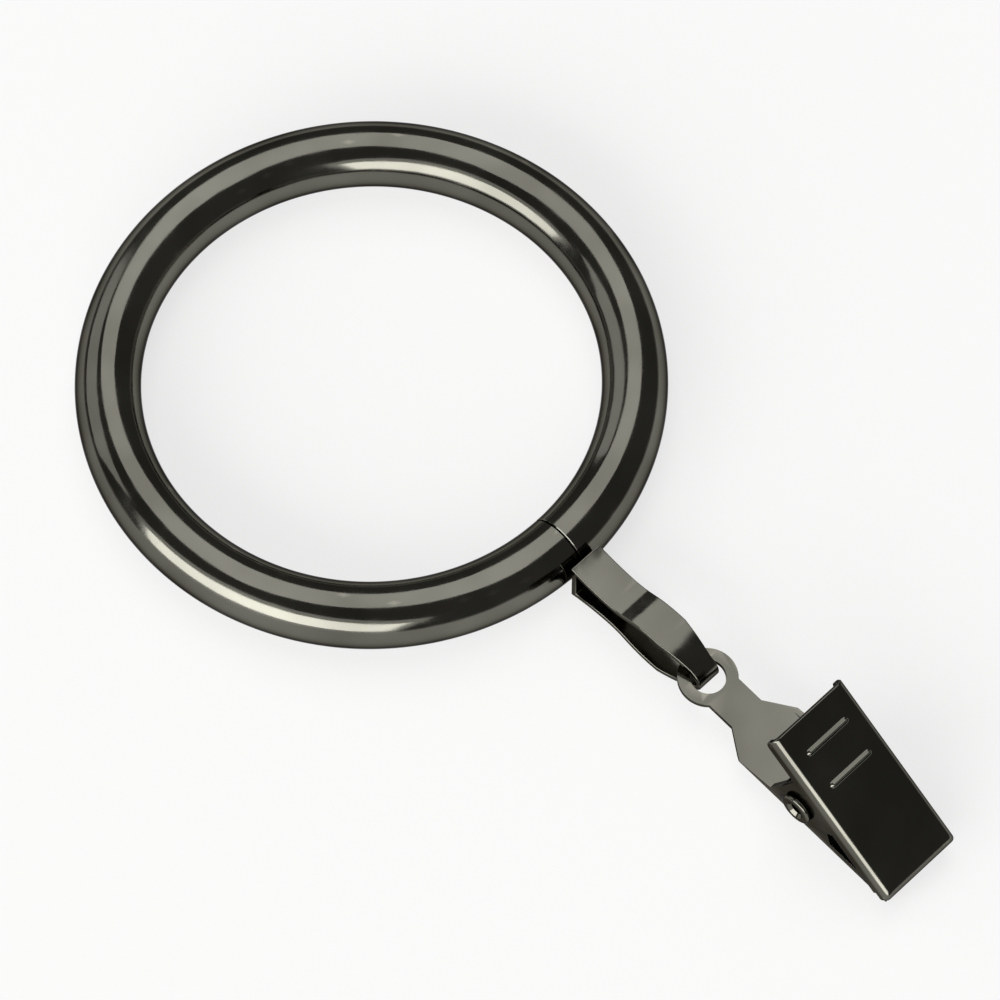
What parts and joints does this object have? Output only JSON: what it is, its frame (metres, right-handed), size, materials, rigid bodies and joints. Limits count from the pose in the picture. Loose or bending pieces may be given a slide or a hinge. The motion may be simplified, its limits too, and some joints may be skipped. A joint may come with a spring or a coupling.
{
  "type": "curtain ring with clip",
  "caption": "Polished dark metal curtain ring with a swivelling eyelet and a sprung two-jaw clip that grips the curtain's top edge.",
  "frame": {"origin": "centre of the ring, in the middle plane of its tube", "axes": "+Z along the ring's axis and away from the surface it lies on, +X from the centre through the eyelet to the clip"},
  "size_m": [0.0871, 0.049, 0.0121],
  "materials": {
    "ring_plating": "polished black nickel plate on steel tube",
    "clip_plating": "polished black nickel plate on steel sheet",
    "spring_wire": "plated spring steel wire"
  },
  "bodies": {
    "ring_body": {"ring": "ring_plating"},
    "eyelet_body": {"eyelet": "clip_plating"},
    "clip_body": {"back_jaw": "clip_plating", "pivot_rivet": "clip_plating", "torsion_spring": "spring_wire"},
    "jaw_body": {"front_jaw": "clip_plating"}
  },
  "joints": [
    {"name": "eyelet_swivel", "type": "hinge", "parent": "ring_body", "child": "eyelet_body", "pos_m": [0.0245, 0, 0], "axis": [1, 0, 0], "continuous": true},
    {"name": "clip_swing", "type": "hinge", "parent": "eyelet_body", "child": "clip_body", "pos_m": [0.03875, 0, 0], "axis": [0, 0, 1], "range_deg": [-130, 130]},
    {"name": "jaw_open", "type": "hinge", "parent": "clip_body", "child": "jaw_body", "pos_m": [0.05268, 0, 0.00225], "axis": [0, -1, 0], "range_deg": [0, 70], "stiffness_Nm_per_rad": 0.04, "deforming": ["torsion_spring"]}
  ]
}
